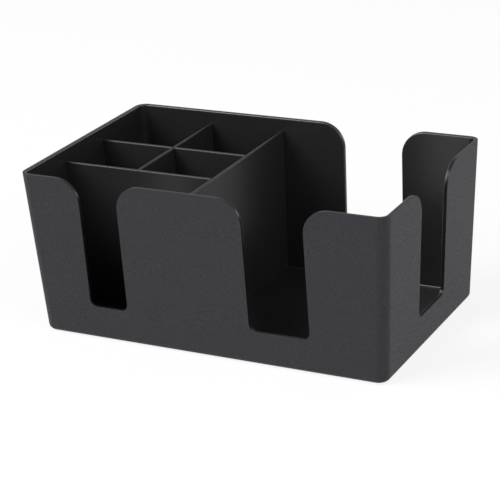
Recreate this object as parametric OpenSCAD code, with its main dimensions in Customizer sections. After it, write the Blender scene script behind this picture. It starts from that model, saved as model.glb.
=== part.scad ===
// Bar caddy: a leaning-walled tub with cut-outs for fingers, slot-in dividers and rubber feet.
// Millimetres. X runs left to right, Y front to back, Z up from the table.
// The origin is on the table, under the middle of the tub.

/* [Tub] */
// Length of the tub over its rim, left to right
tub_length = 241; // [220:1:300]
// Depth of the tub over its rim, front to back
tub_depth = 147; // [130:1:190]
// Height of the rim above the table
tub_height = 104.7; // [85:0.1:140]
// Thickness of the walls
wall = 2.6; // [2:0.1:4]
// Thickness of the floor
floor_t = 2.6; // [2.4:0.1:5]
// How far each end wall leans out between base and rim
end_lean = 5.4; // [0:0.1:10]
// How far the front and back walls lean out between base and rim
side_lean = 3.8; // [0:0.1:8]
// Outer radius of the upright corners
corner_r = 7; // [5:0.5:12]
// Radius where the walls turn under into the base
base_r = 3.5; // [1:0.5:4]
// Radius where the floor meets the walls inside
floor_r = 0.9; // [0.5:0.1:2]

/* [Cut-outs] */
// Width of the cut-out in front of the straw bay
straw_gap = 26.1; // [18:0.1:36]
// Width of each of the three cut-outs round the napkin bay
napkin_gap = 39.3; // [25:0.1:60]
// How far the cut-outs in the front and back sit to the left of the middles of their bays
gap_shift = 1.6; // [0:0.1:4]
// How far the cut-out in the right end sits in front of the middle of its wall
end_gap_shift = 1.6; // [0:0.1:4]
// Height of the sill below the cut-outs, above the table
sill_h = 22.5; // [15:0.1:40]
// Radius of the shoulders where a cut-out opens into the rim
shoulder_r = 16; // [5:0.5:20]
// Radius in the bottom corners of a cut-out
sill_r = 4.5; // [2:0.5:8]

/* [Dividers] */
// Thickness of the divider plates
divider_t = 2; // [1.6:0.1:3]
// How far the tops of the dividers stop below the rim
divider_drop = 8; // [4:0.1:20]
// Length of the napkin bay along the floor
napkin_bay = 125.5; // [110:0.5:140]
// Depth of the straw bay along the floor
straw_bay = 41.3; // [30:0.1:55]
// Depth of the cells in the middle row
cell_depth = 42.8; // [30:0.1:50]
// Length of the cells beside the main divider
cell_length = 50; // [35:0.5:60]

/* [Divider seats] */
// Length of the tabs that locate a divider in the floor
tab_length = 12; // [6:1:16]
// How far the tabs reach into the floor
tab_depth = 1; // [0.5:0.1:1.2]
// Distance from a divider's end to the middle of its tab
tab_inset = 14; // [10:1:18]
// Clearance round a divider where it meets its neighbours
fit = 0.15; // [0.1:0.05:0.3]

/* [Feet] */
// Diameter of the rubber feet
foot_d = 14; // [8:0.5:20]
// Thickness of the rubber feet
foot_t = 1.6; // [1.2:0.1:1.8]
// How far the feet stand out of the base
foot_proud = 0.6; // [0.4:0.1:1]
// Distance from the edge of the base to the middle of a foot
foot_inset = 16; // [12:0.5:30]
// Radius round the lower edge of a foot
foot_r = 0.4; // [0.2:0.1:0.8]

/* [Hidden] */

$fn = 64;
black_plastic = [0.11, 0.11, 0.12];
black_rubber = [0.05, 0.05, 0.05];

// Facets round the corners of the lofted tub
loft_fn = 32;
// Thickness of the discs that the loft stretches to at the top
loft_skin = 0.01;
// How far a cut runs past the surface that it opens
over = 1;

base_z = foot_proud;
floor_z = base_z + floor_t;
divider_z = tub_height - divider_drop;
// Level that a divider's outline runs up to, past its rounded top
reach_z = divider_z + over;
// Level where the rear and cross dividers are half lapped
lap_z = (floor_z + divider_z) / 2;
// Corners of a divider are cut off to clear the radius round the floor
toe = floor_r + fit;

// Half length and half depth of the tub's outside at height z
function end_out(z) = tub_length / 2 - end_lean * (tub_height - z) / (tub_height - base_z);
function side_out(z) = tub_depth / 2 - side_lean * (tub_height - z) / (tub_height - base_z);
// The same for the inside faces of the walls
function end_in(z) = end_out(z) - wall;
function side_in(z) = side_out(z) - wall;

// Places of the dividers' middle planes, worked out from the bays that they bound
main_x = end_in(floor_z) - napkin_bay - divider_t / 2;
front_y = straw_bay - side_in(floor_z) + divider_t / 2;
rear_y = front_y + cell_depth + divider_t;
cross_x = main_x - cell_length - divider_t;

// The cut-outs follow the middles of their bays, measured a third of the way up
gap_z = tub_height / 3;
straw_gap_x = (main_x - divider_t / 2 - end_in(gap_z)) / 2 - gap_shift;
napkin_gap_x = (main_x + divider_t / 2 + end_in(gap_z)) / 2 - gap_shift;

// Ends of each divider along its own length, on the floor and at the top of its outline.
// An end against a wall follows the wall's lean, an end against a divider is upright.
main_ends = [[-side_in(floor_z), side_in(floor_z)], [-side_in(reach_z), side_in(reach_z)]];
row_right = main_x - divider_t / 2;
row_ends = [[-end_in(floor_z), row_right], [-end_in(reach_z), row_right]];
cross_front = front_y + divider_t / 2;
cross_ends = [[cross_front, side_in(floor_z)], [cross_front, side_in(reach_z)]];

foot_x = end_out(base_z) - foot_inset;
foot_y = side_out(base_z) - foot_inset;

// One rounded corner of the loft, a ring that gives the base its rounded edge
module base_corner(r, edge_r)
    rotate_extrude($fn = loft_fn) intersection() {
        translate([r - edge_r, 0]) circle(edge_r, $fn = loft_fn);
        translate([0, -edge_r]) square([r, 2 * edge_r]);
    }

// Solid inside the tub's outer faces moved in by inset, from z0 up to z1
module loft(inset, z0, z1, edge_r) {
    r = corner_r - inset;
    ring_z = z0 + edge_r;
    hull() for (sx = [-1, 1], sy = [-1, 1]) {
        translate([sx * (end_out(ring_z) - inset - r), sy * (side_out(ring_z) - inset - r), ring_z])
            base_corner(r, edge_r);
        translate([sx * (end_out(z1) - inset - r), sy * (side_out(z1) - inset - r), z1 - loft_skin])
            cylinder(r = r, h = loft_skin, $fn = loft_fn);
    }
}

// Outline of a cut-out: a slot with round bottom corners that flares into the rim
module gap_outline(gap) {
    translate([-gap / 2, sill_h + sill_r])
        square([gap, tub_height + over - sill_h - sill_r]);
    translate([sill_r - gap / 2, sill_h])
        square([gap - 2 * sill_r, 2 * sill_r]);
    for (side = [-1, 1]) {
        translate([side * (gap / 2 - sill_r), sill_h + sill_r])
            circle(sill_r);
        difference() {
            translate([side * (gap + shoulder_r) / 2, tub_height - shoulder_r / 2 + over / 2])
                square([shoulder_r, shoulder_r + over], center = true);
            translate([side * (gap / 2 + shoulder_r), tub_height - shoulder_r])
                circle(shoulder_r);
        }
    }
}

// The outline cut through a wall that faces along Y, from y0 to y1
module gap_along_y(x, gap, y0, y1)
    translate([x, y1, 0]) rotate([90, 0, 0]) linear_extrude(y1 - y0) gap_outline(gap);

// The outline cut through a wall that faces along X, from x0 to x1
module gap_along_x(y, gap, x0, x1)
    translate([x0, y, 0]) rotate([90, 0, 90]) linear_extrude(x1 - x0) gap_outline(gap);

// Places of the two tabs along a divider, from its ends on the floor
function tab_places(ends) = [ends[0][0] + tab_inset, ends[0][1] - tab_inset];

// Outline of the tabs along one divider, or with room to spare of the pockets that take them
module tab_outline(ends, room)
    for (s = tab_places(ends))
        translate([s - tab_length / 2 - room, floor_z - tab_depth - room])
            square([tab_length + 2 * room, tab_depth + room + over]);

// Outline of a divider in its own plane, with tabs below, up past where its top is rounded
module divider_outline(ends) {
    polygon([
        [ends[0][0] + fit + toe, floor_z], [ends[0][1] - fit - toe, floor_z],
        [ends[0][1] - fit, floor_z + toe], [ends[1][1] - fit, reach_z],
        [ends[1][0] + fit, reach_z], [ends[0][0] + fit, floor_z + toe]
    ]);
    tab_outline(ends, 0);
}

// Section of a divider across its length, with a round top edge
module divider_section() {
    foot_z = floor_z - tab_depth - over;
    round_z = divider_z - divider_t / 2;
    translate([-divider_t / 2, foot_z]) square([divider_t, round_z - foot_z]);
    translate([0, round_z]) circle(d = divider_t);
}

// Stands an outline up along X with its middle plane at Y = 0
module upright(thickness) rotate([90, 0, 0]) linear_extrude(thickness, center = true) children();

// A divider plate along X, its section run along its length and trimmed to its outline
module divider(ends) intersection() {
    upright(2 * divider_t) divider_outline(ends);
    translate([ends[1][0] - over, 0, 0]) rotate([90, 0, 90])
        linear_extrude(ends[1][1] - ends[1][0] + 2 * over) divider_section();
}

// The pockets in the floor that take the tabs along one divider
module pockets(ends) upright(divider_t + 2 * fit) tab_outline(ends, fit);

// Puts a divider, or its pockets, along X at a given Y
module along_x(y) translate([0, y, 0]) children();
// Puts a divider, or its pockets, along Y at a given X
module along_y(x) translate([x, 0, 0]) rotate([0, 0, 90]) children();

// Half-lap notch for a crossing divider at place s, between two heights
module lap_notch(s, z0, z1)
    translate([s - divider_t / 2 - fit, -divider_t, z0])
        cube([divider_t + 2 * fit, 2 * divider_t, z1 - z0]);

// Half section of a rubber foot, with a round lower edge
module foot_section() {
    square([foot_d / 2 - foot_r, foot_t]);
    translate([0, foot_r]) square([foot_d / 2, foot_t - foot_r]);
    translate([foot_d / 2 - foot_r, foot_r]) circle(foot_r);
}

module foot_pad(x, y)
    color(black_rubber) translate([x, y, 0]) rotate_extrude() foot_section();

module tub() color(black_plastic) difference() {
    loft(0, base_z, tub_height, base_r);
    loft(wall, floor_z, tub_height + over, floor_r);
    gap_along_y(straw_gap_x, straw_gap, -tub_depth / 2 - over, front_y);
    gap_along_y(napkin_gap_x, napkin_gap, -tub_depth / 2 - over, tub_depth / 2 + over);
    gap_along_x(-end_gap_shift, napkin_gap, napkin_gap_x, tub_length / 2 + over);
    along_y(main_x) pockets(main_ends);
    along_x(front_y) pockets(row_ends);
    along_x(rear_y) pockets(row_ends);
    along_y(cross_x) pockets(cross_ends);
    for (sx = [-1, 1], sy = [-1, 1])
        translate([sx * foot_x, sy * foot_y, 0]) cylinder(d = foot_d + 2 * fit, h = foot_t);
}

module main_divider() color(black_plastic) along_y(main_x) divider(main_ends);

module front_divider() color(black_plastic) along_x(front_y) divider(row_ends);

module rear_divider() color(black_plastic) along_x(rear_y) difference() {
    divider(row_ends);
    lap_notch(cross_x, lap_z, divider_z + over);
}

module cross_divider() color(black_plastic) along_y(cross_x) difference() {
    divider(cross_ends);
    lap_notch(rear_y, floor_z - over, lap_z + fit);
}

module foot_front_left() foot_pad(-foot_x, -foot_y);
module foot_front_right() foot_pad(foot_x, -foot_y);
module foot_rear_left() foot_pad(-foot_x, foot_y);
module foot_rear_right() foot_pad(foot_x, foot_y);

tub();
main_divider();
front_divider();
rear_divider();
cross_divider();
foot_front_left();
foot_front_right();
foot_rear_left();
foot_rear_right();
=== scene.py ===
# %% [markdown]
# # A black bar caddy
# This lesson dresses a bar caddy for a product photograph: an open tub with leaning walls and U-shaped
# finger cut-outs, four slot-in dividers and four rubber feet. The construction is already fixed and comes in
# as a frame, in metres. Here every piece gets its moulded edges, its finish and its light.

# %% Load the frame
import math
from collections import namedtuple

import bmesh
import bpy
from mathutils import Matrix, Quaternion, Vector


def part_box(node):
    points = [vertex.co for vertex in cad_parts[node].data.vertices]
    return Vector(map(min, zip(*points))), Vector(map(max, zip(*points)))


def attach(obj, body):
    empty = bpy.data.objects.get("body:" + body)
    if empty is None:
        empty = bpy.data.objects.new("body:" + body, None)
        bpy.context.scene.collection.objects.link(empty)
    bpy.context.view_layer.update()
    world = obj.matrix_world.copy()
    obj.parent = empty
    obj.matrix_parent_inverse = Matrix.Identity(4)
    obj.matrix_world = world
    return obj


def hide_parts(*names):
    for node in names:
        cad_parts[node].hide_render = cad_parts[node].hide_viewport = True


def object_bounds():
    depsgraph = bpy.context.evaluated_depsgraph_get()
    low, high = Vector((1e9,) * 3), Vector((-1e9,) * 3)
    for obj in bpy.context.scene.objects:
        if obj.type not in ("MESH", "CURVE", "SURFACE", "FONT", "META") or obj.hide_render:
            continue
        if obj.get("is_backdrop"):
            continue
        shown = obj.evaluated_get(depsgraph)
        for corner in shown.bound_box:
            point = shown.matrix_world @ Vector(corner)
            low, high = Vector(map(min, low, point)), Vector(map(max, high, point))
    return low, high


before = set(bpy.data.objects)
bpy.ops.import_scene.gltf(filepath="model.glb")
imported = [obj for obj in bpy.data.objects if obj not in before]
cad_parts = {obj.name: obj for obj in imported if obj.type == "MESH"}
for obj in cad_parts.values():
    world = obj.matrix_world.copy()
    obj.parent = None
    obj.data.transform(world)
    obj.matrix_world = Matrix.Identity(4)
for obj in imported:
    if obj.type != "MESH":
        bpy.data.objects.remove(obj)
scene = bpy.context.scene
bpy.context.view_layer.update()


def rounded(values, digits=4):
    return [round(value, digits) for value in values]


# %% [markdown]
# ## Camera
# The camera stands where the photographer's did: to the right of the front, a little above the rim, with a
# long lens. Its place is given as an angle round the caddy, an angle above the table, a distance and a small
# roll, because those are the numbers that a photographer could set on a tripod. The lamps will be placed by
# the same two angles.

# %% Set up the camera
FRAME_PIXELS = 500
SENSOR_WIDTH = 36.0
FOCAL_PIXELS = 1838.3
CAMERA_AZIMUTH = 28.36
CAMERA_ELEVATION = 21.78
CAMERA_ROLL = -3.52
CAMERA_DISTANCE = 1.1402
CAMERA_TARGET = Vector((-0.0047, 0.0, 0.042))


def direction(azimuth, elevation):
    """Unit vector towards an angle round the caddy and an angle above the table, in degrees."""
    turn, rise = math.radians(azimuth), math.radians(elevation)
    return Vector((math.sin(turn) * math.cos(rise), -math.cos(turn) * math.cos(rise), math.sin(rise)))


def facing_back(away):
    """Rotation of a camera or lamp that looks back along the direction it stands in."""
    return (-away).to_track_quat("-Z", "Y")


towards_camera = direction(CAMERA_AZIMUTH, CAMERA_ELEVATION)
camera_roll = Quaternion((0, 0, 1), math.radians(CAMERA_ROLL))
camera = bpy.data.objects.new("camera", bpy.data.cameras.new("camera"))
camera.data.sensor_width = SENSOR_WIDTH
camera.data.lens = FOCAL_PIXELS * SENSOR_WIDTH / FRAME_PIXELS
camera.location = CAMERA_TARGET + towards_camera * CAMERA_DISTANCE
camera.rotation_mode = "QUATERNION"
camera.rotation_quaternion = facing_back(towards_camera) @ camera_roll
scene.collection.objects.link(camera)
scene.camera = camera
print("lens", round(camera.data.lens, 1), "mm at", rounded(camera.location, 3))

# %% [markdown]
# ## Writing shader maths as Python
# A finish is a small sum: so much roughness, plus a little where the grain is high. Wrapping a node's output
# in a class with the usual operators lets the sum be written as a sum, and each operator adds its Math node.
# The reflected forms let a plain number come first, as in 1 - grain.

# %% Define a wire
class Wire:
    """The output of a node, which adds Math nodes when it is used in a sum."""

    def __init__(self, finish, socket):
        self.finish = finish
        self.socket = socket

    def maths(self, operation, first, second):
        settings = {"operation": operation}
        return self.finish.node("ShaderNodeMath", settings, {0: first, 1: second})

    def __add__(self, other):
        return self.maths("ADD", self, other)

    def __radd__(self, other):
        return self.maths("ADD", other, self)

    def __sub__(self, other):
        return self.maths("SUBTRACT", self, other)

    def __rsub__(self, other):
        return self.maths("SUBTRACT", other, self)

    def __mul__(self, other):
        return self.maths("MULTIPLY", self, other)

    def __rmul__(self, other):
        return self.maths("MULTIPLY", other, self)


print("made a wire that adds, subtracts and multiplies")

# %% [markdown]
# ## A finish and its nodes
# A material is a tree of nodes, and so is the light of the world. Every node, the Math ones too, comes from
# one method, which takes the node's type, its settings and the values or wires of its inputs. The short
# methods after it only name the few nodes that this caddy needs.

# %% Define a finish
class Finish:
    """A material or a world whose nodes are made one call at a time."""

    def __init__(self, owner, output_kind="ShaderNodeOutputMaterial"):
        self.owner = owner
        owner.use_nodes = True
        self.tree = owner.node_tree
        self.tree.nodes.clear()
        self.output = self.tree.nodes.new(output_kind)

    def node(self, kind, settings=None, inputs=None, output=0):
        made = self.tree.nodes.new(kind)
        for name, value in (settings or {}).items():
            setattr(made, name, value)
        for key, value in (inputs or {}).items():
            if isinstance(value, Wire):
                self.tree.links.new(value.socket, made.inputs[key])
            else:
                made.inputs[key].default_value = value
        return Wire(self, made.outputs[output])

    def surface(self, shader):
        self.tree.links.new(shader.socket, self.output.inputs["Surface"])
        return self.owner

    def place(self):
        return self.node("ShaderNodeTexCoord", output="Object")

    def noise(self, place, scale, detail=2.0, roughness=0.5):
        inputs = {"Vector": place, "Scale": scale, "Detail": detail, "Roughness": roughness}
        return self.node("ShaderNodeTexNoise", None, inputs)

    def blend(self, share, first, second):
        settings = {"data_type": "RGBA", "clamp_factor": True}
        return self.node("ShaderNodeMix", settings, {0: share, 6: first, 7: second}, output=2)

    def bump(self, height, strength, distance):
        inputs = {"Height": height, "Strength": strength, "Distance": distance}
        return self.node("ShaderNodeBump", None, inputs)

    def ray(self, kind):
        """1 for light rays of one kind, such as Is Camera Ray, and 0 for the rest."""
        return self.node("ShaderNodeLightPath", output=kind)


def grey(value, green=1.0, blue=1.0):
    """A near-neutral colour, with its green and blue channels a little up or down."""
    return (value, value * green, value * blue, 1.0)


print("made a finish helper, with white as", grey(1.0))

# %% [markdown]
# ## Textured plastic
# The outside of the tub was moulded against spark-eroded steel, so it carries a fine matte grain: pits a
# fraction of a millimetre across that scatter light and make the black look charcoal. Hands and cloths polish
# the tops of the grain first, so the high spots are a little lighter and shinier than the pits. An image
# texture could hold the grain, but noise on the piece's own coordinates needs no file and has no seams.

# %% Make the textured plastic
GRAIN_PER_METRE = 900.0
GRAIN_CONTRAST = 2.2
GRAIN_STRENGTH = 1.0
GRAIN_HEIGHT = 0.0002
MOTTLE_PER_METRE = 90.0
MOTTLE_CONTRAST = 0.3
PIT_LEVEL = 0.75
PIT_TONE = 0.0195
TOP_TONE = 0.0315
CHARCOAL = {"green": 0.98, "blue": 1.16}
PIT_ROUGHNESS = 0.78
GRAIN_POLISH = 0.5
MOTTLE_BLUR = 0.06
TEXTURED_IOR = 1.28
TOP_SHINE = 0.08
TOP_SHINE_BLUR = 0.4
TOP_SHINE_IOR = 1.4


def textured_plastic():
    finish = Finish(bpy.data.materials.new("textured_plastic"))
    place = finish.place()
    grain = finish.noise(place, GRAIN_PER_METRE, detail=4.0, roughness=0.65)
    mottle = finish.noise(place, MOTTLE_PER_METRE, detail=3.0)
    tops = grain * GRAIN_CONTRAST + mottle * MOTTLE_CONTRAST - PIT_LEVEL
    shader = finish.node("ShaderNodeBsdfPrincipled", None, {
        "Base Color": finish.blend(tops, grey(PIT_TONE, **CHARCOAL), grey(TOP_TONE, **CHARCOAL)),
        "Roughness": PIT_ROUGHNESS - grain * GRAIN_POLISH + mottle * MOTTLE_BLUR,
        "IOR": TEXTURED_IOR,
        "Coat Weight": tops * TOP_SHINE,
        "Coat Roughness": TOP_SHINE_BLUR,
        "Coat IOR": TOP_SHINE_IOR,
        "Normal": finish.bump(grain, GRAIN_STRENGTH, GRAIN_HEIGHT),
    })
    return finish.surface(shader)


tub_outside = textured_plastic()
print("made", tub_outside.name)

# %% [markdown]
# ## Polished plastic
# Inside, the mould was polished, so the walls and dividers are smoother and show blurred reflections of each
# other. Real polished plastic is never perfect: slow waves in the surface and faint handling marks change how
# sharp its reflections are, so the roughness wanders a little. Three materials written out one by one would
# repeat each other, so one function makes three grades: the polished inside, a duller edge whose much darker
# tone is painted shade, standing for the shade on the rims and cut edges, and the satin of the dividers.

# %% Make the polished plastic
WAVE_PER_METRE = 25.0
WAVE_STRENGTH = 0.1
WAVE_HEIGHT = 0.0004
WAVE_BLUR = 0.06
RUB_PER_METRE = 160.0
RUB_TONE = 0.15
RUB_BLUR = 0.04
COOL_BLUE = 1.04


def polished_plastic(name, tone, blur, ior):
    finish = Finish(bpy.data.materials.new(name))
    place = finish.place()
    wave = finish.noise(place, WAVE_PER_METRE)
    rub = finish.noise(place, RUB_PER_METRE, detail=4.0, roughness=0.65)
    dull = grey(tone * (1 - RUB_TONE), blue=COOL_BLUE)
    bright = grey(tone * (1 + RUB_TONE), blue=COOL_BLUE)
    shader = finish.node("ShaderNodeBsdfPrincipled", None, {
        "Base Color": finish.blend(rub, dull, bright),
        "Roughness": blur + wave * WAVE_BLUR + rub * RUB_BLUR,
        "IOR": ior,
        "Normal": finish.bump(wave, WAVE_STRENGTH, WAVE_HEIGHT),
    })
    return finish.surface(shader)


tub_inside = polished_plastic("polished_plastic", tone=0.0155, blur=0.2, ior=1.5)
# Painted shade: the edge's tone is set well below the inside's, so that the rims and cut edges look darker.
edge_plastic_painted_shade = polished_plastic("satin_edge_painted_shade", tone=0.006, blur=0.25, ior=1.3)
divider_satin = polished_plastic("satin_plastic", tone=0.0175, blur=0.32, ior=1.38)
print("made", tub_inside.name, edge_plastic_painted_shade.name, "and", divider_satin.name)

# %% [markdown]
# ## Rubber
# The feet are soft black rubber: no gloss to speak of, and a dusty grain. They hardly show until the caddy is
# picked up, but rubber in the plastic's finish would look wrong then, so they get a finish of their own.

# %% Make the rubber
DUST_PER_METRE = 900.0
DUST_STRENGTH = 0.3
DUST_HEIGHT = 0.0001
DUST_BLUR = 0.14
RUBBER_ROUGHNESS = 0.78
CLEAN_TONE = 0.012
DUSTY_TONE = 0.03


def soft_rubber():
    finish = Finish(bpy.data.materials.new("soft_rubber"))
    dust = finish.noise(finish.place(), DUST_PER_METRE, detail=3.0)
    shader = finish.node("ShaderNodeBsdfPrincipled", None, {
        "Base Color": finish.blend(dust, grey(CLEAN_TONE), grey(DUSTY_TONE)),
        "Roughness": RUBBER_ROUGHNESS + dust * DUST_BLUR,
        "Normal": finish.bump(dust, DUST_STRENGTH, DUST_HEIGHT),
    })
    return finish.surface(shader)


foot_rubber = soft_rubber()
print("made", foot_rubber.name)

# %% [markdown]
# ## Measuring the tub
# The tub's overall size comes from the frame. Its walls lean outwards, so how wide it is depends on the
# height at which it is measured: two small functions hold the lean, and whatever meets a wall later asks
# them. The cut-outs stand a little off the middles of their bays, as they do on the real caddy.

# %% Measure the tub
WALL = 0.0026
END_LEAN = 0.0054
SIDE_LEAN = 0.0038
GAP_SHIFT = 0.0016

tub_low, tub_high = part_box("tub")
main_low, main_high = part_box("main_divider")
length = tub_high.x - tub_low.x
depth = tub_high.y - tub_low.y
base_z = tub_low.z
rim_z = tub_high.z


def end_wall(z):
    """Half the tub's outside length at height z."""
    return length / 2 - END_LEAN * (rim_z - z) / (rim_z - base_z)


def side_wall(z):
    """Half the tub's outside depth at height z."""
    return depth / 2 - SIDE_LEAN * (rim_z - z) / (rim_z - base_z)


bay_level = rim_z / 3
bay_end = end_wall(bay_level) - WALL
straw_gap_middle = (main_low.x - bay_end) / 2 - GAP_SHIFT
napkin_gap_middle = (main_high.x + bay_end) / 2 - GAP_SHIFT
print("tub", rounded((length, depth, rim_z)), "gaps at", rounded((straw_gap_middle, napkin_gap_middle)))

# %% [markdown]
# ## Cut-outs
# A U-shaped cut-out starts as four corners in the rim of a wall: the outer two stay on the rim and the inner
# two are drawn down to the sill, sliding along the lean of the wall. A Boolean cutter would make the same
# hole, but corners in the sheet itself leave clean edges, which are easy to round later.

# %% Draw the cut-outs
SILL_HEIGHT = 0.0225
STRAW_GAP = 0.0261
NAPKIN_GAP = 0.0393
END_GAP_SHIFT = 0.0016
NEAR = 1e-5
FRONT, BACK, RIGHT = Vector((0, -1, 0)), Vector((0, 1, 0)), Vector((1, 0, 0))


def notch(middle, gap):
    """Corners of a cut-out as (distance along the wall, height)."""
    left, right = middle - gap / 2, middle + gap / 2
    return [(left, rim_z), (left, SILL_HEIGHT), (right, SILL_HEIGHT), (right, rim_z)]


def rim_edge(sheet, side):
    """The rim edge of the wall that faces the given side."""
    upper = [e for e in sheet.edges if all(v.co.z > rim_z - NEAR for v in e.verts)]
    return max(upper, key=lambda e: (e.verts[0].co + e.verts[1].co).dot(side))


def cut_notches(sheet, side, corners):
    """Cuts notches into one wall by adding vertices to its rim and drawing them down."""
    along = Vector((abs(side.y), abs(side.x), 0))
    cut = bmesh.ops.subdivide_edges(sheet, edges=[rim_edge(sheet, side)], cuts=len(corners))
    added = [v for v in cut["geom_inner"] if isinstance(v, bmesh.types.BMVert)]
    added.sort(key=lambda v: v.co.dot(along))
    for vert, (place, z) in zip(added, corners):
        reach = end_wall(z) if side.x else side_wall(z)
        vert.co = side * reach + along * place + Vector((0, 0, z))


straw_notch = notch(straw_gap_middle, STRAW_GAP)
napkin_notch = notch(napkin_gap_middle, NAPKIN_GAP)
end_notch = notch(-END_GAP_SHIFT, NAPKIN_GAP)
print("straw cut-out", [rounded(corner) for corner in straw_notch])

# %% [markdown]
# ## The tub as a folded sheet
# The tub is one moulding with an even wall, so it is made the way a card model would be: a box with no lid,
# its base drawn in so that the walls lean, with the cut-outs taken from its rim. A stack of rings could be
# bridged into the same walls, but a folded sheet has one face to a wall and keeps every wall flat.

# %% Fold the tub
def folded_tub():
    sheet = bmesh.new()
    bmesh.ops.create_cube(sheet, size=1.0)
    bmesh.ops.scale(sheet, vec=(length, depth, rim_z - base_z), verts=sheet.verts)
    bmesh.ops.translate(sheet, vec=(0, 0, (rim_z + base_z) / 2), verts=sheet.verts)
    base = [v for v in sheet.verts if v.co.z < rim_z / 2]
    drawn_in = (end_wall(base_z) * 2 / length, side_wall(base_z) * 2 / depth, 1)
    bmesh.ops.scale(sheet, vec=drawn_in, verts=base)
    lid = [f for f in sheet.faces if f.calc_center_median().z > rim_z - NEAR]
    bmesh.ops.delete(sheet, geom=lid, context="FACES_ONLY")
    cut_notches(sheet, FRONT, straw_notch + napkin_notch)
    cut_notches(sheet, BACK, napkin_notch)
    cut_notches(sheet, RIGHT, end_notch)
    return sheet


tub_sheet = folded_tub()
print("folded tub", len(tub_sheet.verts), "vertices", len(tub_sheet.faces), "faces")

# %% [markdown]
# ## Rounding the sheet
# A moulded part has hardly a sharp corner, because a mould with one is difficult to cut and to fill. Bevel
# does all the rounding: on a corner of the sheet's outline it draws an arc in the wall's own plane, and on a
# fold between two walls it makes a fillet. A Bevel modifier would give every edge the same radius, so the
# operator is called for one group at a time: the outlines, then the upright corners, then the edge round the
# base.

# %% Round the sheet
Rounding = namedtuple("Rounding", "radius segments")
SHOULDER = Rounding(0.016, 14)
SILL = Rounding(0.0045, 8)
UPRIGHT_CORNER = Rounding(0.007, 10)
BASE_EDGE = Rounding(0.0035, 6)


def round_off(sheet, geometry, rounding, affect):
    return bmesh.ops.bevel(
        sheet, geom=geometry, offset=rounding.radius, offset_type="OFFSET", segments=rounding.segments,
        profile=0.5, affect=affect, material=-1, clamp_overlap=False,
    )


def round_sheet(sheet):
    for height, rounding in ((rim_z, SHOULDER), (SILL_HEIGHT, SILL)):
        outline = [v for v in sheet.verts if len(v.link_edges) == 2]
        corners = [v for v in outline if abs(v.co.z - height) < NEAR]
        round_off(sheet, corners, rounding, "VERTICES")
    folds = [e for e in sheet.edges if len(e.link_faces) == 2]
    uprights = [e for e in folds if abs(e.verts[0].co.z - e.verts[1].co.z) > rim_z / 2]
    round_off(sheet, uprights, UPRIGHT_CORNER, "EDGES")
    base = min(sheet.faces, key=lambda f: f.calc_center_median().z)
    round_off(sheet, list(base.edges), BASE_EDGE, "EDGES")
    bmesh.ops.recalc_face_normals(sheet, faces=sheet.faces)


round_sheet(tub_sheet)
print("rounded tub", len(tub_sheet.verts), "vertices", len(tub_sheet.faces), "faces")

# %% [markdown]
# ## Wall thickness and soft edges
# A moulded wall has two faces and a rounded edge between them. The sheet is thickened inwards, so that every
# inner radius follows its outer one, and the inner corners of every cut edge are brought level with the outer
# ones. A Solidify modifier could thicken it too, but after the operator the new faces can be told from the
# old, so each face is given its material: textured outside, polished inside, and on the edge between them a
# satin whose dark tone is painted shade.
# The sharp edges that are left get a small radius. It is larger inside, where hands reach over the rim, and
# catches the thin line of light along the far walls.

# %% Thicken the tub
OUTER_EDGE = Rounding(0.00012, 2)
INNER_LIP = Rounding(0.0008, 6)
SHARP_ANGLE = math.radians(50)
OUTSIDE, INSIDE, EDGE = 0, 1, 2


def sharp_edges(sheet):
    return [e for e in sheet.edges if e.calc_face_angle() > SHARP_ANGLE]


def thicken(sheet):
    outer_faces = set(sheet.faces)
    outer_verts = set(sheet.verts)
    bmesh.ops.solidify(sheet, geom=list(sheet.faces), thickness=WALL)
    for face in sheet.faces:
        if face in outer_faces:
            face.material_index = OUTSIDE
        else:
            face.material_index = EDGE if any(v in outer_verts for v in face.verts) else INSIDE
    for edge in sheet.edges:
        outer = [v for v in edge.verts if v in outer_verts]
        if len(outer) == 1:
            edge.other_vert(outer[0]).co.z = outer[0].co.z
    sharp = sharp_edges(sheet)
    outer_edges = [e for e in sharp if all(v in outer_verts for v in e.verts)]
    inner_edges = [e for e in sharp if not any(v in outer_verts for v in e.verts)]
    for face in round_off(sheet, inner_edges, INNER_LIP, "EDGES")["faces"]:
        face.material_index = INSIDE
    round_off(sheet, outer_edges, OUTER_EDGE, "EDGES")


thicken(tub_sheet)
print("thick tub", len(tub_sheet.verts), "vertices", len(tub_sheet.faces), "faces")

# %% [markdown]
# ## From mesh to piece
# Every piece ends the same way. Its bmesh becomes the mesh of an object that stays at the origin, with its
# place in its mesh, so that a pattern on object coordinates never slides. Weighted normals then let the large
# flat faces set the shading. Plain smooth shading would bend the light across whole walls.

# %% Turn the tub into a piece
def as_piece(mesh_data, name, finishes):
    """Turns a finished bmesh into an object with its place in its mesh."""
    mesh = bpy.data.meshes.new(name)
    mesh_data.to_mesh(mesh)
    mesh_data.free()
    for finish in finishes:
        mesh.materials.append(finish)
    mesh.shade_smooth()
    piece = bpy.data.objects.new(name, mesh)
    scene.collection.objects.link(piece)
    return piece


def even_shading(piece):
    """Lets the large flat faces set the shading, so that small radii look like radii."""
    piece.modifiers.new("even_shading", "WEIGHTED_NORMAL").keep_sharp = True


tub_finishes = [tub_outside, tub_inside, edge_plastic_painted_shade]
tub = as_piece(tub_sheet, "tub_shell", tub_finishes)
print(tub.name, len(tub.data.polygons), "faces", rounded(tub.dimensions))

# %% [markdown]
# ## Where the dividers stand
# A divider's end follows the wall that it stands against, so it is shorter on the floor than at its top. An
# end against another divider is upright. The frame's box gives the length at the top, and the lean of the
# walls gives the length on the floor. Two short tabs under each divider hold it in the floor.

# %% Place the dividers and their tabs
TAB_LENGTH = 0.012
TAB_INSET = 0.014
FIT = 0.00015
END_LEANS = {
    "main_divider": (SIDE_LEAN, SIDE_LEAN),
    "front_divider": (END_LEAN, 0),
    "rear_divider": (END_LEAN, 0),
    "cross_divider": (0, SIDE_LEAN),
}
floor_z = base_z + WALL


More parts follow.
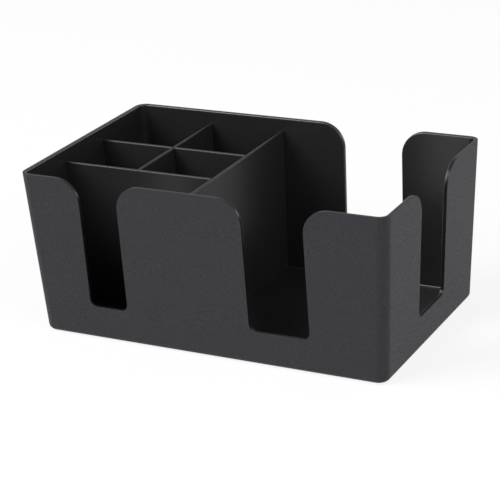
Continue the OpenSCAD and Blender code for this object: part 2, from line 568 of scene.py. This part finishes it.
def divider_axis(name):
    """0 for a divider that runs along X and 1 for one that runs along Y."""
    low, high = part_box(name)
    return 0 if high.x - low.x > high.y - low.y else 1


def span_at_top(name):
    low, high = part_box(name)
    axis = divider_axis(name)
    return low[axis], high[axis]


def span_on_floor(name):
    start, end = span_at_top(name)
    start_lean, end_lean = END_LEANS[name]
    rise = (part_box(name)[1].z - floor_z) / (rim_z - base_z)
    return start + start_lean * rise, end - end_lean * rise


def tab_middles(name):
    start, end = span_on_floor(name)
    return [start - FIT + TAB_INSET, end + FIT - TAB_INSET]


for name in END_LEANS:
    print(name, "on the floor", rounded(span_on_floor(name)), "tabs at", rounded(tab_middles(name)))

# %% [markdown]
# ## Shapes for the pockets
# The tub's floor has a shallow pocket for every tab, and round pockets under the base hold the feet. Each
# pocket is drawn as the solid that will leave it: a block or a disc, a little larger than what goes in, so
# that a tab or a foot has room.

# %% Draw the pockets
FEET = ["foot_front_left", "foot_front_right", "foot_rear_left", "foot_rear_right"]
DISC_SEGMENTS = 64


def add_block(sheet, low, high, index):
    """Adds a box between two corners, with a material index for its faces."""
    made = bmesh.ops.create_cube(sheet, size=1.0)["verts"]
    bmesh.ops.scale(sheet, vec=high - low, verts=made)
    bmesh.ops.translate(sheet, vec=(low + high) / 2, verts=made)
    for face in {f for v in made for f in v.link_faces}:
        face.material_index = index


def add_disc(sheet, middle, radius, thickness):
    """Adds a flat cylinder round its middle."""
    made = bmesh.ops.create_cone(
        sheet, cap_ends=True, segments=DISC_SEGMENTS, radius1=radius, radius2=radius, depth=thickness,
    )["verts"]
    bmesh.ops.translate(sheet, vec=middle, verts=made)


def pocket_cutters():
    cutters = bmesh.new()
    room = Vector((FIT, FIT, FIT))
    for name in END_LEANS:
        axis = divider_axis(name)
        for middle in tab_middles(name):
            low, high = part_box(name)
            low[axis], high[axis] = middle - TAB_LENGTH / 2, middle + TAB_LENGTH / 2
            high.z = floor_z + WALL
            add_block(cutters, low - room, high + room, INSIDE)
    for name in FEET:
        low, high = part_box(name)
        mouth = Vector(((low.x + high.x) / 2, (low.y + high.y) / 2, low.z))
        add_disc(cutters, mouth, (high.x - low.x) / 2 + FIT, (high.z - low.z) * 2)
    return cutters


cutters = pocket_cutters()
print("pocket shapes", len(cutters.verts), "vertices", len(cutters.faces), "faces")

# %% [markdown]
# ## Cutting the pockets
# A pocket could be inset into the floor and pushed down, but that needs a face of its shape to start from,
# and a Boolean needs none. It cuts all the pockets at once and is applied straight away, so that the finished
# tub is a single plain mesh. The cutters carry the tub's own materials, because a cut face takes its material
# from what cut it. The tub then rides on its body in the frame and stands for the plain solid there.

# %% Cut the pockets
def cut_away(piece, cutters, finishes):
    cutter = as_piece(cutters, "pocket_cutters", finishes)
    cut = piece.modifiers.new("pockets", "BOOLEAN")
    cut.operation = "DIFFERENCE"
    cut.solver = "EXACT"
    cut.object = cutter
    view = bpy.context.evaluated_depsgraph_get()
    shaped = bpy.data.meshes.new_from_object(piece.evaluated_get(view))
    piece.modifiers.remove(cut)
    piece.data = shaped
    bpy.data.objects.remove(cutter)


cut_away(tub, cutters, tub_finishes)
even_shading(tub)
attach(tub, "tub")
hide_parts("tub")
print(tub.name, len(tub.data.polygons), "faces with its pockets")

# %% [markdown]
# ## Divider outlines
# A divider is a thin plate, so its outline is drawn once, as a few corners in its own plane. A box with a
# cutter for every tab and slot would make the same plate in more steps. The rear and cross dividers are half
# lapped: each has a slot half its height, one from above and one from below. The toes are cut off where the
# floor curves up into a wall.

# %% Draw the dividers
TOE = 0.00105


def divider_outline(name, slot_middle=None, slot_from_top=False):
    """Corners of a divider as (distance along it, height), anticlockwise."""
    low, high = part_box(name)
    foot_start, foot_end = span_on_floor(name)
    top_start, top_end = span_at_top(name)
    top_z = high.z
    lap_z = (floor_z + top_z) / 2
    half_slot = (high - low)[1 - divider_axis(name)] / 2 + FIT
    corners = [(foot_start + TOE, floor_z)]
    under = [(middle, TAB_LENGTH / 2, low.z) for middle in tab_middles(name)]
    if slot_middle is not None and not slot_from_top:
        under.insert(1, (slot_middle, half_slot, lap_z + FIT))
    for middle, half, reach in under:
        corners += [(middle - half, floor_z), (middle - half, reach)]
        corners += [(middle + half, reach), (middle + half, floor_z)]
    corners += [(foot_end - TOE, floor_z), (foot_end, floor_z + TOE), (top_end, top_z)]
    if slot_middle is not None and slot_from_top:
        corners += [(slot_middle + half_slot, top_z), (slot_middle + half_slot, lap_z)]
        corners += [(slot_middle - half_slot, lap_z), (slot_middle - half_slot, top_z)]
    corners += [(top_start, top_z), (foot_start, floor_z + TOE)]
    return corners


cross_low, cross_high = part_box("cross_divider")
rear_low, rear_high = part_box("rear_divider")
outlines = {
    "main_divider": divider_outline("main_divider"),
    "front_divider": divider_outline("front_divider"),
    "rear_divider": divider_outline("rear_divider", (cross_low.x + cross_high.x) / 2, True),
    "cross_divider": divider_outline("cross_divider", (rear_low.y + rear_high.y) / 2),
}
print("corners", {name: len(corners) for name, corners in outlines.items()})

# %% [markdown]
# ## Divider plates
# Each outline is extruded by the divider's thickness. The top edge is rounded almost to a half circle, which
# is the bright line that the camera sees, and the other edges get a radius that only takes their sharpness
# away.

# %% Make the dividers
CROWN_SHARE = 0.48
CROWN_SEGMENTS = 6
PLATE_EDGE = Rounding(0.0002, 2)


def crown_edges(plate, axis, top_z, least_length):
    """The long edges along the top of a plate."""
    upper = [e for e in plate.edges if all(v.co.z > top_z - NEAR for v in e.verts)]
    return [e for e in upper if abs(e.verts[0].co[axis] - e.verts[1].co[axis]) > least_length]


def upright_plate(name, corners):
    """Extrudes an outline into a plate in the place of a divider and rounds its edges."""
    low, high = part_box(name)
    axis = divider_axis(name)
    across = Vector((0, 0, 0))
    across[1 - axis] = (high - low)[1 - axis]
    plate = bmesh.new()
    outline = []
    for along, z in corners:
        place = Vector((low.x, low.y, z))
        place[axis] = along
        outline.append(plate.verts.new(place))
    grown = bmesh.ops.extrude_face_region(plate, geom=[plate.faces.new(outline)])
    far_side = [v for v in grown["geom"] if isinstance(v, bmesh.types.BMVert)]
    bmesh.ops.translate(plate, vec=across, verts=far_side)
    bmesh.ops.recalc_face_normals(plate, faces=plate.faces)
    thickness = across.length
    crown = Rounding(thickness * CROWN_SHARE, CROWN_SEGMENTS)
    round_off(plate, crown_edges(plate, axis, high.z, thickness * 2), crown, "EDGES")
    round_off(plate, sharp_edges(plate), PLATE_EDGE, "EDGES")
    return plate


for name, corners in outlines.items():
    divider = as_piece(upright_plate(name, corners), name + "_plate", [divider_satin])
    even_shading(divider)
    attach(divider, name)
    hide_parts(name)
    print(divider.name, len(divider.data.polygons), "faces")

# %% [markdown]
# ## Feet
# Four rubber discs are pressed into the pockets under the base and stand a little proud of it. A profile spun
# round an axis would make one, but the helper that drew the round pockets is at hand, so each foot starts as
# such a disc, and its edges are rounded like moulded rubber.

# %% Make the feet
FOOT_EDGE = Rounding(0.0004, 4)

for name in FEET:
    low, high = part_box(name)
    pad = bmesh.new()
    add_disc(pad, (low + high) / 2, (high.x - low.x) / 2, high.z - low.z)
    round_off(pad, sharp_edges(pad), FOOT_EDGE, "EDGES")
    foot = as_piece(pad, name + "_pad", [foot_rubber])
    even_shading(foot)
    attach(foot, "tub")
    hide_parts(name)
    print(foot.name, len(foot.data.polygons), "faces")

# %% [markdown]
# ## Floor
# The floor is a plain pale sheet, which a product photograph shows close to white. More light would whiten it
# and bleach the caddy too, so part of it glows instead, but only for rays that show the floor itself: to the
# camera, in a reflection or through something clear. The rest is paper that takes the lamps' light, so the
# caddy's own soft shadow stays on it.

# %% Lay the floor
FLOOR_SIZE = 12.0
FLOOR_GLOW = 0.85
PAPER_TONE = 0.94


def pale_floor():
    finish = Finish(bpy.data.materials.new("pale_floor"))
    paper = finish.node("ShaderNodeBsdfDiffuse", None, {"Color": grey(PAPER_TONE)})
    glow = finish.node("ShaderNodeEmission", None, {"Color": grey(1.0), "Strength": 1.0})
    seen = finish.ray("Is Camera Ray") + finish.ray("Is Glossy Ray") + finish.ray("Is Transmission Ray")
    shader = finish.node("ShaderNodeMixShader", None, {0: seen * FLOOR_GLOW, 1: paper, 2: glow})
    return finish.surface(shader)


floor_sheet = bmesh.new()
bmesh.ops.create_grid(floor_sheet, x_segments=1, y_segments=1, size=FLOOR_SIZE / 2)
floor = as_piece(floor_sheet, "floor", [pale_floor()])
floor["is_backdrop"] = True
print("floor", FLOOR_SIZE, "m wide")

# %% [markdown]
# ## The tent
# The studio is a pale tent, which lights the caddy softly from all round. A photographer's tent is cloth.
# Here the world's own background does its work, with nothing to stand in the camera's way. Light Path makes
# the tent brighter where it is seen in a reflection or behind the floor, so that the edges shine and the
# background stays pale without more light on the caddy.

# %% Put up the tent
TENT_LIGHT = 0.32
TENT_SHINE = 0.3
TENT_BACKDROP = 0.58

studio = Finish(bpy.data.worlds.new("studio"), "ShaderNodeOutputWorld")
shine = studio.ray("Is Glossy Ray") * TENT_SHINE
backdrop = studio.ray("Is Camera Ray") * TENT_BACKDROP
tent = studio.node("ShaderNodeBackground", None, {
    "Color": grey(1.0),
    "Strength": TENT_LIGHT + shine + backdrop,
})
scene.world = studio.surface(tent)
print("tent", scene.world.name, "at", TENT_LIGHT)

# %% [markdown]
# ## Lamps
# Three square lamps stand round the caddy. Point lamps would throw hard shadows, and these are as soft as a
# photographer's light boxes. The large one, to the left of the front and as high as a window, lights the
# front wall. A smaller one on the right lights the end wall, and between the two the upright corner stays
# darker. The smallest stands low behind on the right and puts the sparks on the shoulders of the cut-outs.

# %% Light the caddy
def soft_lamp(name, azimuth, elevation, distance, size, watts):
    """A square lamp that faces the caddy from an angle round it and an angle above the table."""
    away = direction(azimuth, elevation)
    data = bpy.data.lights.new(name, "AREA")
    data.size = size
    data.energy = watts
    lamp = bpy.data.objects.new(name, data)
    lamp.location = away * distance
    lamp.rotation_mode = "QUATERNION"
    lamp.rotation_quaternion = facing_back(away)
    scene.collection.objects.link(lamp)
    return lamp


lamps = [
    soft_lamp("key_lamp", azimuth=-46, elevation=42, distance=3.0, size=1.9, watts=90.0),
    soft_lamp("fill_lamp", azimuth=64, elevation=34, distance=2.2, size=1.2, watts=16.0),
    soft_lamp("back_lamp", azimuth=147, elevation=12, distance=2.0, size=0.6, watts=4.0),
]
scene.view_settings.view_transform = "Standard"
print("lamps", [lamp.name for lamp in lamps])

# %% [markdown]
# ## The dressed box
# The last cell prints the box round the dressed caddy, with the floor left out.

# %% Finish
low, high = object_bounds()
print("dressed box", rounded(low), rounded(high))
